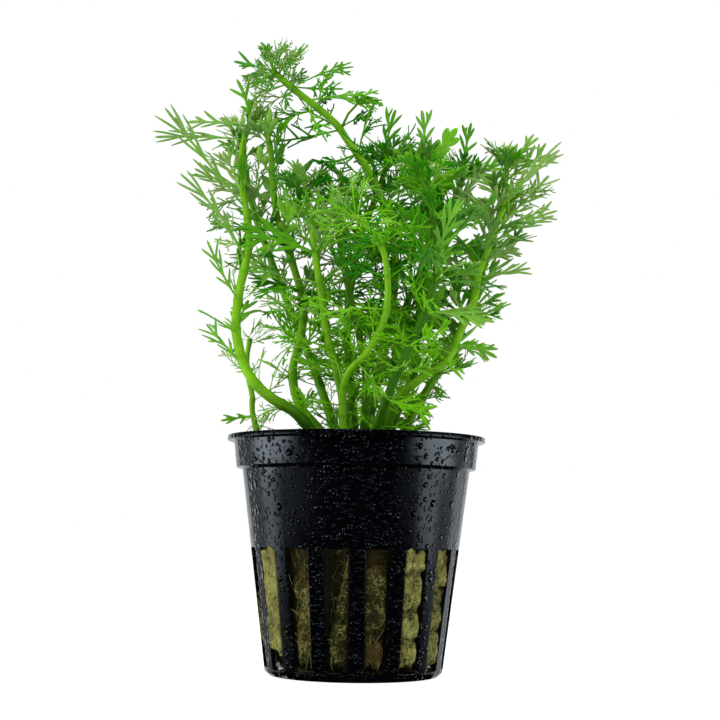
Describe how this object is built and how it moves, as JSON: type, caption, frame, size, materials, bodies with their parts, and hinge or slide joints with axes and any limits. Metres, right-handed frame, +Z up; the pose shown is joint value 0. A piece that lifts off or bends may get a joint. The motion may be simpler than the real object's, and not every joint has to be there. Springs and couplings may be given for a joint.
{
  "type": "potted giant ambulia aquarium plant",
  "caption": "bushy stem plant with finely divided leaves in whorls, rooted in rock wool inside a slotted net pot, ready to set down or plant out",
  "frame": {"origin": "middle of the pot's flat underside", "axes": "+Z up along the pot's axis, the plant's front faces -Y, +X to its right seen from the front"},
  "size_m": [0.089, 0.0627, 0.1382],
  "materials": {
    "pot_plastic": "glossy black, wet",
    "rock_wool": "matt wet fibre, olive",
    "stem": "smooth plant stem, yellow green",
    "leaf": "soft leaf, bright green",
    "outer_leaf": "soft leaf, sage green"
  },
  "bodies": {
    "root": {"leaf_back_reach": "leaf", "leaf_back_rear": "leaf", "leaf_back_spire": "leaf", "leaf_broad_left": "leaf", "leaf_broad_right": "leaf", "leaf_centre_high": "leaf", "leaf_centre_rear": "leaf", "leaf_crown_back": "leaf", "leaf_crown_high": "leaf", "leaf_crown_left": "leaf", "leaf_crown_low": "leaf", "leaf_crown_rear": "leaf", "leaf_crown_right": "leaf", "leaf_crown_tip": "leaf", "leaf_curl_front": "leaf", "leaf_curl_left": "leaf", "leaf_front_reach": "leaf", "leaf_left_back": "outer_leaf", "leaf_left_bend": "leaf", "leaf_left_level": "outer_leaf", "leaf_left_long": "outer_leaf", "leaf_left_lower": "leaf", "leaf_left_middle": "leaf", "leaf_left_narrow": "outer_leaf", "leaf_left_rear": "leaf", "leaf_left_top": "outer_leaf", "leaf_left_upright": "leaf", "leaf_right_feather": "outer_leaf", "leaf_right_front": "leaf", "leaf_right_hanging": "leaf", "leaf_right_level": "outer_leaf", "leaf_right_lower": "leaf", "leaf_right_middle": "outer_leaf", "leaf_right_outer": "outer_leaf", "leaf_right_spire": "leaf", "leaf_right_tip": "outer_leaf", "leaf_right_upper": "outer_leaf", "leaf_rim_curl": "leaf", "leaf_top_back": "leaf", "leaf_top_front": "leaf", "leaf_top_right": "leaf", "net_pot": "pot_plastic", "rock_wool_left": "rock_wool", "rock_wool_right": "rock_wool", "stem_back_centre": "stem", "stem_back_left": "stem", "stem_back_right": "stem", "stem_centre": "stem", "stem_centre_left": "stem", "stem_far_right": "stem", "stem_front_curl": "stem", "stem_front_right": "stem", "stem_left_arch": "stem", "stem_right_arch": "stem", "stem_right_mid": "stem", "stem_rim_left": "stem", "stem_tall": "stem", "stem_upper_left": "stem"}
  },
  "joints": []
}
